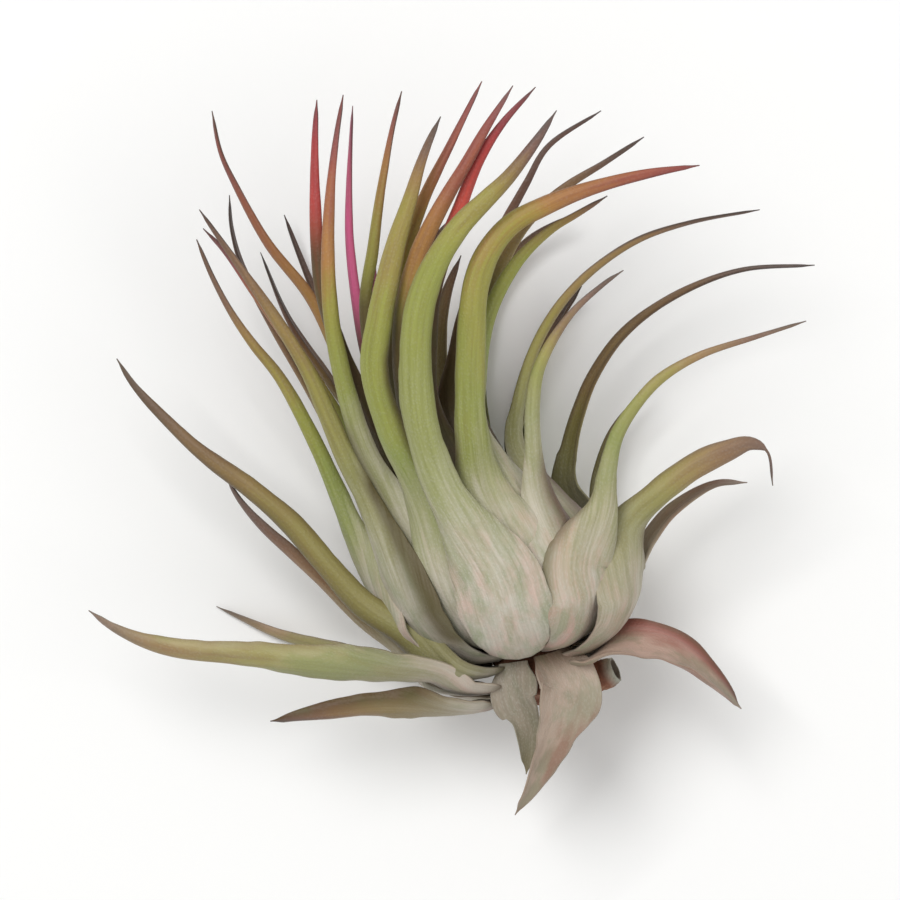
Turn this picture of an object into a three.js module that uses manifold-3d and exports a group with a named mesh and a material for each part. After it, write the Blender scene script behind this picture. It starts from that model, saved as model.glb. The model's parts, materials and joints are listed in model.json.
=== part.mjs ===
// A small red air plant, lying on its side: a short stem and a rosette of channelled leaves.
// Each leaf is a thin blade. Its wide base wraps the bulb, and its tip runs out to a thread.
// Millimetres. +Z is up from the surface that the plant lies on, and the leaf tips point to +Y.

import * as THREE from 'three';
import Module from 'manifold-3d';
import { mergeVertices } from 'three/addons/utils/BufferGeometryUtils.js';

// Driving dimensions of the stem and of the bulb that the leaf bases form round it
const STEM_BASE = new THREE.Vector3(8.2, -22.0, 11.45);
const STEM_LEAN_X = -0.2;
const STEM_BENDS_X = -0.005;
const STEM_RISE_Y = 0.975;
const STEM_RISE_Z = 0.14;
const STEM_RADIUS = 3.6;
const STEM_TOP_RADIUS = 1.7;
const STEM_TOP = 13.5;
const STEM_SIDES = 12;
const BULB_RADIUS = 11.8;
const BULB_SWELL = 8.8;
const SWELL_SKEW = 2.2;
const OUTER_LAYER = 7;
const LAYER_STEP = 1.05;
const LAYER_CLIMB = 1.25;
const OUTER_START = 2.6;
const STEM_GAP = 0.3;

// Driving dimensions of a leaf
const THICKNESS = 0.75;
const EDGE_THICKNESS = 0.62;
const TIP_WIDTH = 0.62;
const SHEATH_HALF_ANGLE = 0.43;
const SHEATH_LENGTH = 10;
const BLADE_FROM = 25;
const CHANNEL_HALF_ANGLE = 1.0;
const FLAT_HALF_ANGLE = 0.05;
const CURLED_WIDTH = 1.2;
const TAPER_POWER = 1.6;
const NEIGHBOUR_GAP = 0.3;

// Shares of a leaf's length: the blade starts by the first, the sheath ends by the second share of
// that, the sheath keeps the bulb's curve up to the third, and a turned leaf starts to turn at the last
const BLADE_SHARE = 0.55;
const SHEATH_SHARE = 0.5;
const ROUND_SHARE = 0.25;
const TURN_SHARE = 0.4;

// Fineness of the meshes
const STATIONS = 14;
const STATION_POWER = 1.35;
const ARC_POINTS = 4;
const FRAME_STEPS = 120;
const LENGTH_STEPS = 400;
const MERGE_DISTANCE = 1e-4;
const LEAST_OVERLAP = 0.001;

// Colours
const SILVER_GREEN = 0x9fa876;
const GREEN = 0x8f9e4a;
const OLIVE = 0x8a7d40;
const ORANGE = 0xb0793f;
const RED = 0xb5473c;
const PINK = 0xb2527a;
const BROWN = 0x7a5a40;
const GREY = 0x8d8a80;

// The stem: places on its middle line and the radius there. Past its base an old offset broke off.
const STEM_STATIONS = [[-2.6, 2.3], [-1.6, 3.3], [0, 3.6], [3, 3.2], [7, 2.6], [11, 2.0], [13.5, 1.7]];
const OFFSET_STATIONS = [
  { place: [8.6, -22.6, 11.2], radius: 2.4 },
  { place: [12.4, -22.7, 11.6], radius: 2.1 },
  { place: [15.0, -22.1, 12.2], radius: 1.7 },
  { place: [16.4, -21.5, 12.6], radius: 1.3 },
];

// Every leaf: azimuth round the stem in degrees (0 faces up, 90 faces +X), layer in the bulb
// (7 is outside), widths of its sheath and blade, and the points that the blade runs through.
// An old leaf has no layer: its base lists heights on the stem with distances from the middle line.
// Turn is how far a blade twists about its own length, in degrees, by where it leaves the bulb.
// Clasp is the half-angle by which a base wraps the stem, where it isn't the usual one.
// Taper is the power by which a blade narrows: under 1 it is a thread for most of its length.
// Thread is the share of the blade at which it has narrowed to a thread, where that isn't its tip.
const LEAVES = [
  { name: 'leaf_front_centre', azimuth: -6, layer: 7, sheath: 10, blade: 4.1, taper: 1.9,
    colour: SILVER_GREEN,
    path: [[-1.1, -2.8, 26.2], [-2.9, 3.1, 28], [-3.3, 9.1, 29.4], [-2.9, 13.4, 30.2], [-1.9, 16.8, 30.7],
      [-0.6, 19.4, 31.1], [1.2, 21.9, 31.5], [3.6, 24.3, 31.9], [5.9, 26.6, 32.2], [8.2, 29.6, 32.4],
      [10.4, 32.9, 32.4]] },
  { name: 'leaf_right_outer', azimuth: 40, layer: 7, sheath: 10, blade: 2.4, bladeFrom: 22, taper: 0.5,
    turn: -25, colour: GREEN,
    path: [[15.1, -5.8, 20.2], [15.6, -1.9, 20.8], [16.5, 1.6, 21.2], [18.5, 4.8, 21.5], [20.8, 7.2, 21.7],
      [24.6, 9.4, 21.7], [30.1, 11.2, 21.4], [34.9, 12.7, 20.8]] },
  { name: 'leaf_right_hooked', azimuth: 64, layer: 8, sheath: 9.5, blade: 3.1, taper: 4, thread: 0.78,
    turn: -45, colour: OLIVE,
    path: [[17.6, -7.4, 17], [20.8, -4.1, 17.2], [24.1, -1.6, 17.2], [27.3, -0.1, 17], [29.6, 0.7, 16.8],
      [31.2, 0, 16.4], [31.8, -3.4, 15.6]] },
  { name: 'leaf_left_outer', azimuth: -62, layer: 7, sheath: 9.5, blade: 3, taper: 1, turn: 25,
    colour: OLIVE,
    path: [[-7.9, -5.6, 18], [-10.1, -1.3, 18.6], [-12, 3.2, 19.2], [-13.9, 7.6, 19.6], [-16.7, 12.4, 20],
      [-19.8, 17, 20.4], [-24.4, 23.6, 20.6]] },
  { name: 'leaf_left_edge', azimuth: -89, layer: 8, sheath: 9.5, blade: 2.5, taper: 0.8, turn: 55,
    colour: GREEN,
    path: [[-9.7, -7.8, 12.8], [-13, 0.1, 13.6], [-16.7, 7.2, 14.4], [-19.3, 10.5, 14.8], [-21.4, 13.6, 15],
      [-23.2, 17, 15.3], [-24.8, 20.8, 15.4]] },
  { name: 'leaf_right_low', azimuth: 92, layer: 7, sheath: 9.5, blade: 2.3, turn: -55, colour: BROWN,
    path: [[18.2, -11.4, 12.2], [19.9, -8.7, 12.2], [21.8, -6.2, 12.4], [24.6, -4.1, 12.6],
      [26.6, -3.2, 12.6], [29.4, -3.1, 12.6]] },
  { name: 'leaf_front_left', azimuth: -34, layer: 6, sheath: 9.5, blade: 3.9, taper: 1.9, colour: GREEN,
    path: [[-2.6, -5.4, 22.2], [-5.9, 1.6, 24.8], [-7.6, 7.6, 26.6], [-7.1, 12.6, 27.4], [-6.1, 17, 28],
      [-5.2, 20.6, 28.4], [-4, 24.2, 28.8], [-3, 27.4, 29.1], [-2.1, 29.6, 29.3], [-0.8, 32.4, 29.5]] },
  { name: 'leaf_right_inner', azimuth: 33, layer: 6, sheath: 8, blade: 2.1, taper: 0.9,
    colour: SILVER_GREEN,
    path: [[9.0, -4.5, 21], [8.4, 0.2, 22], [8.3, 4.6, 23], [8.9, 8.2, 23.6], [11.6, 13, 24.2],
      [15.1, 16.3, 24.4], [17, 17.6, 24.4]] },
  { name: 'leaf_right_back', azimuth: 118, layer: 6, sheath: 7.5, blade: 2.5, bladeFrom: 20, taper: 0.45,
    turn: 30, colour: OLIVE,
    path: [[11.7, -3.4, 8], [12.1, 0.6, 8.4], [12.9, 3.8, 8.9], [14.3, 7.4, 9.6], [17.2, 11.6, 10.8],
      [22, 15.2, 12], [28.6, 17.8, 13], [36, 18.3, 13.5]] },
  { name: 'leaf_left_twin', azimuth: -92, layer: 6, sheath: 8, blade: 2.2, turn: 40, colour: ORANGE,
    path: [[-9.8, 0.4, 12], [-12.8, 6, 12.6], [-16, 11, 13.2], [-19.4, 15.8, 13.6],
      [-22.3, 19.9, 13.8], [-24.2, 21.9, 13.9]] },
  { name: 'leaf_front_right', azimuth: 8, layer: 5, sheath: 8.5, blade: 3.7, colour: ORANGE,
    path: [[3.2, -3.4, 23.2], [2.4, 1.6, 25.4], [2.2, 7.6, 27], [2.4, 12.4, 27.7], [2.8, 16.2, 28.1],
      [4.1, 19.5, 28.4], [6.3, 22, 28.5], [9.2, 23.6, 28.6], [12.3, 24.9, 28.6], [15.8, 26, 28.6],
      [20.4, 27.1, 28.4], [24.3, 27.7, 28.2]] },
  { name: 'leaf_right_middle', azimuth: 60, layer: 5, sheath: 8, blade: 2.9, taper: 0.5, colour: OLIVE,
    path: [[6.9, 0.5, 17.6], [7.1, 5, 18.6], [8.5, 10, 19.3], [11, 14.4, 19.9], [14.2, 17.8, 20.3],
      [18.4, 20.6, 20.5], [23.4, 22.3, 20.4], [30.4, 23.6, 19.8]] },
  { name: 'leaf_left_middle', azimuth: -52, layer: 5, sheath: 8.5, blade: 2.8, taper: 1.2, turn: 15,
    colour: ORANGE,
    path: [[-6.2, -4.2, 18.4], [-8.9, 1.2, 20.4], [-10.7, 7.6, 22], [-11.7, 13.6, 23], [-11.9, 19.7, 23.5],
      [-11.6, 25.4, 23.7], [-11, 30.4, 23.8], [-10.3, 34.7, 23.8]] },
  { name: 'leaf_inner_orange', azimuth: -22, layer: 4, sheath: 7, blade: 2.4, taper: 2.2, colour: ORANGE,
    path: [[-2.2, -2.2, 20.8], [-3.9, 3, 22.9], [-4.7, 9, 25], [-4.4, 14.2, 26.3], [-3.2, 18.7, 27.2],
      [-1.8, 21.9, 27.7], [-0.1, 25, 28.1], [1.7, 28, 28.5], [3.4, 31, 28.8], [5.2, 33.8, 29.1],
      [6.2, 35.4, 29.2]] },
  { name: 'leaf_left_far', azimuth: -76, layer: 4, sheath: 7, blade: 2.2, turn: 15, colour: ORANGE,
    path: [[-8.4, 2.4, 15.6], [-10.6, 8.2, 16.6], [-13.6, 14.8, 17.6], [-17.8, 20.3, 18.2],
      [-21.1, 26.3, 18.6], [-22.4, 29.3, 18.8], [-23.2, 33.3, 19]] },
  { name: 'leaf_inner_green', azimuth: 28, layer: 4, sheath: 7, blade: 2.3, colour: GREEN,
    path: [[3, 2, 20.9], [3, 7.6, 22.3], [4, 13.2, 23.5], [6.6, 18.2, 24.4], [9.8, 21.4, 25],
      [12.4, 23, 25.4], [15.4, 24.8, 25.6]] },
  { name: 'leaf_inner_brown', azimuth: -36, layer: 3, sheath: 6, blade: 2.2, colour: ORANGE,
    path: [[-4.4, 2.6, 19.4], [-5.6, 9, 21.8], [-5.2, 15, 23.8], [-4, 20.5, 25.1], [-2.4, 24.8, 26],
      [0.2, 29.9, 26.6], [3.2, 35.9, 27]] },
  { name: 'leaf_inner_red', azimuth: -87, layer: 3, sheath: 6, blade: 1.9, taper: 2.6, turn: 50, colour: RED,
    path: [[-7.9, 3.6, 17.4], [-10.6, 9.5, 19], [-12.4, 15, 20], [-13, 20, 20.6], [-13.2, 26, 20.9],
      [-13.1, 30.4, 21.1], [-12.9, 34.3, 21.2]] },
  { name: 'leaf_inner_thin', azimuth: 22, layer: 3, sheath: 6, blade: 1.8, colour: OLIVE,
    path: [[2.8, 3, 18.2], [2.8, 9, 19.8], [4.2, 15.6, 21.2], [7.2, 21.7, 22.4], [11.5, 25.8, 23],
      [15, 28, 23.4], [19, 30.6, 23.6]] },
  { name: 'leaf_inner_olive', azimuth: -58, layer: 2, sheath: 5.6, blade: 2.0, colour: ORANGE,
    path: [[-5.6, 3, 17.8], [-7.6, 8.6, 20.4], [-8.3, 14.4, 22.4], [-7.5, 19.8, 23.8], [-6.7, 25.2, 24.6],
      [-5.6, 31, 25.2], [-4.6, 35, 25.4]] },
  { name: 'leaf_inner_bright', azimuth: -6, layer: 2, sheath: 5.6, blade: 2.3, colour: RED,
    path: [[-1.8, 3, 19.4], [-2.2, 9, 22], [-1.8, 14.6, 24.2], [-0.4, 19.7, 25.8], [1, 23.5, 26.8],
      [2.9, 28.2, 27.6], [5.2, 31.8, 28], [8.4, 35.3, 28.2]] },
  { name: 'leaf_inner_pink', azimuth: -78, layer: 1, sheath: 4.8, blade: 1.9, taper: 1.8, colour: PINK,
    path: [[-6.2, 3.6, 15.8], [-8.2, 9, 18], [-9.3, 15.5, 19.8], [-9.8, 21, 20.7], [-9.8, 26, 21.2],
      [-9.6, 30.4, 21.5], [-9.4, 33.7, 21.6]] },
  { name: 'leaf_inner_dark', azimuth: 12, layer: 1, sheath: 4.8, blade: 1.7, taper: 0.9, colour: BROWN,
    path: [[0.2, 4, 17.4], [0.8, 10, 19.2], [2.4, 16, 21.2], [4.8, 21, 22.8], [7.5, 26, 24.2],
      [9.6, 29.6, 24.8], [14.8, 33.1, 25.2]] },
  { name: 'leaf_back_edge', azimuth: 117, layer: 8, sheath: 9.5, blade: 2.2, colour: OLIVE,
    path: [[14.8, -4.8, 6.4], [15.2, -1.4, 5.6], [16.2, 1.6, 5.2], [17.9, 4.2, 5.4], [20, 6.3, 5.8]] },
  { name: 'leaf_back_right', azimuth: 145, layer: 7, sheath: 9.5, blade: 3.4, colour: GREEN,
    path: [[7.8, -2.4, 3.2], [7.6, 3, 1.4], [8.7, 8.4, 0.3], [10.2, 11.8, 0.8], [11.8, 14.4, 1.8],
      [13.2, 16.4, 3]] },
  { name: 'leaf_back_centre', azimuth: 168, layer: 8, sheath: 9.5, blade: 3.4, colour: GREEN,
    path: [[3.6, -1, 1], [2.6, 5, 0.9], [2.8, 11, 1], [4.6, 16.5, 1.4], [8, 20.8, 2.4], [12.4, 23.6, 3.6]] },
  { name: 'leaf_back_left', azimuth: -164, layer: 7, sheath: 9.5, blade: 3.4, colour: GREEN,
    path: [[-1.9, -1.5, 2.3], [-3.4, 4.5, 1.9], [-4, 10.5, 2], [-3.6, 15.4, 2.6], [-2.2, 19.6, 3.6],
      [0, 23, 4.8]] },
  { name: 'leaf_left_back', azimuth: -141, layer: 8, sheath: 9, blade: 3, taper: 0.8, colour: BROWN,
    path: [[-6.9, -1.5, 2.3], [-9.5, 5.5, 0.9], [-12.3, 13, 0.3], [-14.5, 18.5, 1.2], [-16.4, 23.5, 2.4]] },
  { name: 'leaf_left_thin', azimuth: -113, layer: 7, sheath: 8.5, blade: 2.4, colour: BROWN,
    path: [[-9.8, -2.4, 8], [-13.3, 5, 8], [-17.3, 12, 8.2], [-20.4, 18, 8.8], [-21.5, 22, 9.2],
      [-21.7, 25.3, 9.4]] },
  { name: 'leaf_back_inner', azimuth: -177, layer: 6, sheath: 8.5, blade: 2.8, colour: OLIVE,
    path: [[-0.4, 0, 4.4], [-1, 5.4, 4.6], [-1.1, 10.6, 5], [-0.4, 15.2, 5.8], [1.2, 19.4, 6.8]] },
  { name: 'leaf_back_upper', azimuth: 140, layer: 5, sheath: 8, blade: 2.2, colour: OLIVE,
    path: [[6.6, 0, 6.8], [7.2, 4.4, 7], [8.5, 8.6, 7.6], [10.1, 12, 8.2], [11.9, 14.8, 9]] },
  { name: 'leaf_back_narrow', azimuth: -155, layer: 5, sheath: 8, blade: 2.6, colour: OLIVE,
    path: [[-4, 0.5, 6], [-6, 6, 6.2], [-7.1, 11.6, 6.6], [-6.9, 16.4, 7.2], [-5.9, 20.6, 8]] },
  { name: 'leaf_left_short', azimuth: -104, layer: 5, sheath: 7.5, blade: 2.2, colour: BROWN,
    path: [[-8.6, 1.6, 10.2], [-12, 7, 10.4], [-15.9, 13, 10.6], [-18.6, 19.6, 11]] },
  { name: 'leaf_heart_back', azimuth: 178, layer: 2, sheath: 5.6, blade: 2.0, colour: PINK,
    path: [[-1, 2.5, 9.2], [-2.4, 8.5, 9.6], [-2.6, 15, 10.4], [-1.2, 21, 11.4]] },
  { name: 'leaf_heart_right', azimuth: 80, layer: 1, sheath: 5, blade: 1.9, colour: PINK,
    path: [[2.2, 3.4, 14], [2.2, 9, 15], [3.4, 15, 16.2], [6, 20, 17.4]] },
  { name: 'leaf_heart_left', azimuth: -120, layer: 0, sheath: 4.4, blade: 1.9, colour: PINK,
    path: [[-4, 4.4, 12.4], [-5.8, 9.4, 13], [-7.2, 15, 13.8], [-7.6, 21, 14.6]] },
  { name: 'leaf_heart_centre', azimuth: -20, layer: 0, sheath: 4.4, blade: 1.7, colour: PINK,
    path: [[-2.4, 4.4, 15.6], [-3.4, 9.4, 16.8], [-3.4, 15, 18.2], [-1.8, 20.5, 19.6]] },
  { name: 'leaf_old_upper', azimuth: -50, base: [[1.6, 3.9], [1.7, 6.6], [2.6, 9.6]], sheath: 4.8,
    blade: 3.4, bladeFrom: 14, turn: 55, clasp: 0.6, colour: OLIVE,
    path: [[-4.2, -18.2, 16], [-8.7, -15.2, 15.1], [-12.3, -11.3, 14.9], [-16, -6.9, 14.8],
      [-19.5, -3.9, 14.8], [-25.4, 0.6, 14.4], [-31, 6.5, 14], [-32.7, 9.1, 13.8]] },
  { name: 'leaf_old_brown', azimuth: -106, base: [[-1, 3.9], [-0.7, 7.4], [0.6, 10.8]], sheath: 5,
    blade: 2.9, turn: 40, colour: BROWN,
    path: [[-4.6, -20.3, 8.6], [-8.6, -17, 9.4], [-12.6, -13, 10.4], [-15.6, -10.2, 11],
      [-18.7, -7.3, 11.4], [-20.6, -5, 11.6], [-22, -2.5, 11.8]] },
  { name: 'leaf_old_down', azimuth: 30, base: [[2.1, 4.1], [0.7, 5.1], [-1.4, 5.8]], sheath: 7.4,
    blade: 4.4, bladeFrom: 9, clasp: 0.9, taper: 1, colour: BROWN,
    path: [[11, -25.8, 17.2], [10.1, -28.4, 16.8], [9, -31, 16], [7.8, -33.6, 15], [6.5, -35.8, 14]] },
  { name: 'leaf_old_stub', azimuth: -22, base: [[2.1, 4.1], [0.4, 4.8], [-1.5, 5.1]], sheath: 5.4, blade: 3,
    bladeFrom: 9, clasp: 0.8, colour: OLIVE,
    path: [[7.4, -25.6, 15.8], [8, -28.4, 15.1], [7.6, -31.8, 13.8]] },
  { name: 'leaf_old_long', azimuth: -62, base: [[-0.5, 3.9], [-0.1, 6.2], [0.7, 8.4]], sheath: 6.5,
    blade: 3.6, turn: 45, clasp: 0.75, colour: GREEN,
    path: [[-1.4, -22.1, 16.8], [-5.9, -21.6, 16.8], [-14.9, -20.8, 16.4], [-20.9, -20.3, 15.6],
      [-28.4, -19.3, 14.4], [-32.4, -17.8, 13.6], [-35.5, -15.7, 12.8]] },
  { name: 'leaf_old_middle', azimuth: -126, base: [[-1.9, 3.9], [-1.8, 7], [-1.2, 9.4]], sheath: 5,
    blade: 2.6, turn: 35, colour: OLIVE,
    path: [[-4.6, -21.6, 4.2], [-10.4, -20, 2.6], [-14.9, -19, 1.5], [-17.9, -18, 0.9],
      [-23.2, -15.5, 0.33]] },
  { name: 'leaf_old_low', azimuth: -74, base: [[-2, 3.9], [-2.2, 6], [-2, 7.8]], sheath: 6, blade: 3.4,
    turn: 55, clasp: 0.6, colour: BROWN,
    path: [[-2.9, -25.3, 13.4], [-7.4, -25.3, 13.6], [-11.9, -25.8, 13.6], [-17.6, -26.6, 13.2]] },
  { name: 'leaf_old_red', azimuth: 66, base: [[0.4, 3.9], [0.7, 6.6], [1.7, 9]], sheath: 6, blade: 4.4,
    turn: 50, clasp: 0.55, colour: RED,
    path: [[18.9, -18.9, 15.2], [21.4, -19.4, 15.2], [24, -21, 14.8], [26.6, -23.2, 13.8],
      [28.8, -25.4, 12.6]] },
];

// Moves the plant so that its box stands centred over the origin
const PLANT_SHIFT = new THREE.Vector3(-0.1, -0.1, 0);

const wasm = await Module();
wasm.setup();

// The stem's middle line at a height along it, its direction there, and the two sides across it
function axisAt(height) {
  const point = new THREE.Vector3(
    STEM_BASE.x + STEM_LEAN_X * height + STEM_BENDS_X * height * height,
    STEM_BASE.y + STEM_RISE_Y * height,
    STEM_BASE.z + STEM_RISE_Z * height,
  );
  const along = new THREE.Vector3(STEM_LEAN_X + 2 * STEM_BENDS_X * height, STEM_RISE_Y, STEM_RISE_Z);
  along.normalize();
  const front = new THREE.Vector3(0, 0, 1);
  front.addScaledVector(along, -front.dot(along)).normalize();
  const right = new THREE.Vector3().crossVectors(along, front);
  return { point, along, front, right };
}

function stemRadiusAt(height) {
  const share = THREE.MathUtils.clamp(height / STEM_TOP, 0, 1);
  return THREE.MathUtils.lerp(STEM_RADIUS, STEM_TOP_RADIUS, share);
}

// A point at a height and distance from the stem's middle line, and the way out from the line
function aroundStem(height, radius, azimuth) {
  const axis = axisAt(height);
  const angle = THREE.MathUtils.degToRad(azimuth);
  const outward = axis.front.clone().multiplyScalar(Math.cos(angle));
  outward.addScaledVector(axis.right, Math.sin(angle));
  return { point: axis.point.clone().addScaledVector(outward, radius), outward, along: axis.along };
}

// The height on the stem where a leaf grows out
function startHeight(leaf) {
  return leaf.base === undefined ? OUTER_START + (OUTER_LAYER - leaf.layer) * LAYER_CLIMB : leaf.base[0][0];
}

// The bulb: leaf bases swell out from the stem in nested layers. Old leaves follow their own base.
function basePoints(leaf) {
  if (leaf.base !== undefined) {
    return leaf.base.map(([height, radius]) => aroundStem(height, radius, leaf.azimuth).point);
  }
  const start = startHeight(leaf);
  const swell = BULB_SWELL - SWELL_SKEW * Math.sin(THREE.MathUtils.degToRad(leaf.azimuth));
  const outer = BULB_RADIUS - (OUTER_LAYER - leaf.layer) * LAYER_STEP;
  const inner = stemRadiusAt(start) + STEM_GAP;
  return [0, 0.25, 0.5, 0.75, 1].map((share) => {
    const angle = share * Math.PI / 2;
    const height = start + swell * (1 - Math.cos(angle));
    return aroundStem(height, inner + (outer - inner) * Math.sin(angle), leaf.azimuth).point;
  });
}

// The frames along a leaf: place, direction, the side that faces the stem, and the side across
function leafFrames(leaf) {
  const points = basePoints(leaf);
  for (const [x, y, z] of leaf.path) {
    points.push(new THREE.Vector3(x, y, z));
  }
  const curve = new THREE.CatmullRomCurve3(points, false, 'centripetal');
  curve.arcLengthDivisions = LENGTH_STEPS;
  const { outward, along } = aroundStem(startHeight(leaf), 1, leaf.azimuth);
  const frames = [];
  let inner = new THREE.Vector3();
  for (let step = 0; step <= FRAME_STEPS; step += 1) {
    const place = curve.getPointAt(step / FRAME_STEPS);
    const direction = curve.getTangentAt(step / FRAME_STEPS);
    if (step === 0) {
      inner.copy(along).multiplyScalar(direction.dot(outward));
      inner.addScaledVector(outward, -direction.dot(along));
    }
    inner = inner.clone().addScaledVector(direction, -inner.dot(direction)).normalize();
    frames.push({ place, direction, inner, across: new THREE.Vector3().crossVectors(direction, inner) });
  }
  return { frames, length: curve.getLength() };
}

function smooth(value) {
  const share = THREE.MathUtils.clamp(value, 0, 1);
  return share * share * (3 - 2 * share);
}

// The distance from the root where the sheath has narrowed to the blade
function bladeStart(leaf, length) {
  return Math.min(leaf.bladeFrom ?? BLADE_FROM, BLADE_SHARE * length);
}

// Half the width of a leaf at a distance from its root
function halfWidthAt(leaf, distance, length, radius) {
  const bladeFrom = bladeStart(leaf, length);
  const sheathLength = Math.min(SHEATH_LENGTH, SHEATH_SHARE * bladeFrom);
  if (distance < bladeFrom) {
    const share = smooth((distance - sheathLength) / (bladeFrom - sheathLength));
    const width = THREE.MathUtils.lerp(leaf.sheath, leaf.blade, share);
    return Math.min(0.5 * width, (leaf.clasp ?? SHEATH_HALF_ANGLE) * radius);
  }
  const run = (distance - bladeFrom) / (length - bladeFrom);
  const taper = 1 - Math.min(run / (leaf.thread ?? 1), 1) ** (leaf.taper ?? TAPER_POWER);
  return 0.5 * (TIP_WIDTH + (leaf.blade - TIP_WIDTH) * taper);
}

// How far a point is from the stem's middle line, and at least the stem's radius
function distanceToAxis(place) {
  let nearest = Infinity;
  for (let height = -4; height <= 34; height += 1) {
    nearest = Math.min(nearest, place.distanceTo(axisAt(height).point));
  }
  return Math.max(nearest, STEM_RADIUS);
}

// How far a leaf's section has turned about the leaf's own length, at a distance from its root
function turnAt(leaf, distance, bladeFrom) {
  const turnFrom = leaf.base === undefined ? TURN_SHARE * bladeFrom : 0;
  const share = smooth((distance - turnFrom) / (bladeFrom - turnFrom));
  return THREE.MathUtils.degToRad(leaf.turn ?? 0) * share;
}

// The section of a leaf at one station: an arc with a thickness, as a ring of points
function leafRing(leaf, frame, distance, length, extra) {
  const bladeFrom = bladeStart(leaf, length);
  const radius = distanceToAxis(frame.place);
  const half = halfWidthAt(leaf, distance, length, radius);
  const bladeAngle = FLAT_HALF_ANGLE + CHANNEL_HALF_ANGLE * smooth((half * 2 - TIP_WIDTH) / CURLED_WIDTH);
  const unrolled = smooth(distance / bladeFrom - ROUND_SHARE);
  const halfAngle = THREE.MathUtils.lerp(half / radius, bladeAngle, unrolled);
  const curl = half / halfAngle;
  const spread = halfAngle * (half + extra) / half;
  const turn = turnAt(leaf, distance, bladeFrom);
  const inner = frame.inner.clone().applyAxisAngle(frame.direction, turn);
  const across = frame.across.clone().applyAxisAngle(frame.direction, turn);
  const outerRow = [];
  const innerRow = [];
  for (let index = 0; index < ARC_POINTS; index += 1) {
    const side = 2 * index / (ARC_POINTS - 1) - 1;
    const angle = side * spread;
    const thickness = THREE.MathUtils.lerp(THICKNESS, EDGE_THICKNESS, side * side) + 2 * extra;
    const middle = frame.place.clone().addScaledVector(inner, curl * (1 - Math.cos(angle)));
    middle.addScaledVector(across, curl * Math.sin(angle));
    const normal = inner.clone().multiplyScalar(Math.cos(angle));
    normal.addScaledVector(across, -Math.sin(angle));
    outerRow.push(middle.clone().addScaledVector(normal, -0.5 * thickness));
    innerRow.push(middle.clone().addScaledVector(normal, 0.5 * thickness));
  }
  return [...outerRow, ...innerRow.reverse()];
}

// One leaf as a closed mesh; extra grows it all round, to keep its neighbours clear
function leafGeometry(leaf, extra) {
  const { frames, length } = leafFrames(leaf);
  const rings = [];
  for (let station = 0; station < STATIONS; station += 1) {
    const run = (station / (STATIONS - 1)) ** STATION_POWER;
    const frame = frames[Math.round(run * FRAME_STEPS)];
    rings.push(leafRing(leaf, frame, run * length, length, extra));
  }
  return closedSweep(rings);
}

// Closes rings of points into one body: side faces, and a strip across each end
function closedSweep(rings) {
  const ring = rings[0].length;
  const positions = rings.flat().flatMap((point) => [point.x, point.y, point.z]);
  const indices = [];
  for (let station = 0; station < rings.length - 1; station += 1) {
    for (let corner = 0; corner < ring; corner += 1) {
      const next = (corner + 1) % ring;
      const here = station * ring;
      const there = here + ring;
      indices.push(here + corner, there + corner, here + next);
      indices.push(here + next, there + corner, there + next);
    }
  }
  const last = (rings.length - 1) * ring;
  for (let corner = 0; corner < ring / 2 - 1; corner += 1) {
    const far = ring - 1 - corner;
    indices.push(corner, corner + 1, far - 1);
    indices.push(corner, far - 1, far);
    indices.push(last + corner, last + far - 1, last + corner + 1);
    indices.push(last + corner, last + far, last + far - 1);
  }
  const geometry = new THREE.BufferGeometry();
  geometry.setAttribute('position', new THREE.Float32BufferAttribute(positions, 3));
  geometry.setIndex(indices);
  return geometry;
}

// A ring of the stem or of its broken offset
function roundRing(place, along, radius) {
  const front = new THREE.Vector3(0, 0, 1);
  front.addScaledVector(along, -front.dot(along)).normalize();
  const left = new THREE.Vector3().crossVectors(front, along);
  const ring = [];
  for (let corner = 0; corner < STEM_SIDES; corner += 1) {
    const angle = 2 * Math.PI * corner / STEM_SIDES;
    const point = place.clone().addScaledVector(front, radius * Math.cos(angle));
    ring.push(point.addScaledVector(left, radius * Math.sin(angle)));
  }
  return ring;
}

// The stem, joined with the stub of an old offset at its side; extra grows both all round
function stemSolid(extra) {
  const rings = STEM_STATIONS.map(([height, radius]) => {
    const { point, along } = axisAt(height);
    return roundRing(point, along, radius + extra);
  });
  const offsetPlaces = OFFSET_STATIONS.map(({ place }) => new THREE.Vector3(...place));
  const offsetRings = OFFSET_STATIONS.map(({ radius }, index) => {
    const before = offsetPlaces[Math.max(index - 1, 0)];
    const after = offsetPlaces[Math.min(index + 1, offsetPlaces.length - 1)];
    const along = after.clone().sub(before).normalize();
    return roundRing(offsetPlaces[index], along, radius + extra);
  });
  return toSolid(closedSweep(rings)).add(toSolid(closedSweep(offsetRings)));
}

function toSolid(geometry) {
  const merged = mergeVertices(geometry, MERGE_DISTANCE);
  const vertProperties = new Float32Array(merged.getAttribute('position').array);
  const triVerts = new Uint32Array(merged.getIndex().array);
  return new wasm.Manifold(new wasm.Mesh({ numProp: 3, vertProperties, triVerts }));
}

function largestPiece(solid) {
  let best = null;
  for (const piece of solid.decompose()) {
    if (best === null || piece.volume() > best.volume()) {
      best = piece;
    }
  }
  return best;
}

// What is left of a leaf when its overlapping neighbours and the surface below have cut it
function clearOfNeighbours(solid, placed) {
  let clear = solid;
  for (const other of placed) {
    if (clear.intersect(other.solid).volume() > LEAST_OVERLAP) {
      clear = clear.subtract(other.grown).subtract(other.solid);
    }
  }
  return largestPiece(clear.trimByPlane([0, 0, 1], 0));
}

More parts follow.
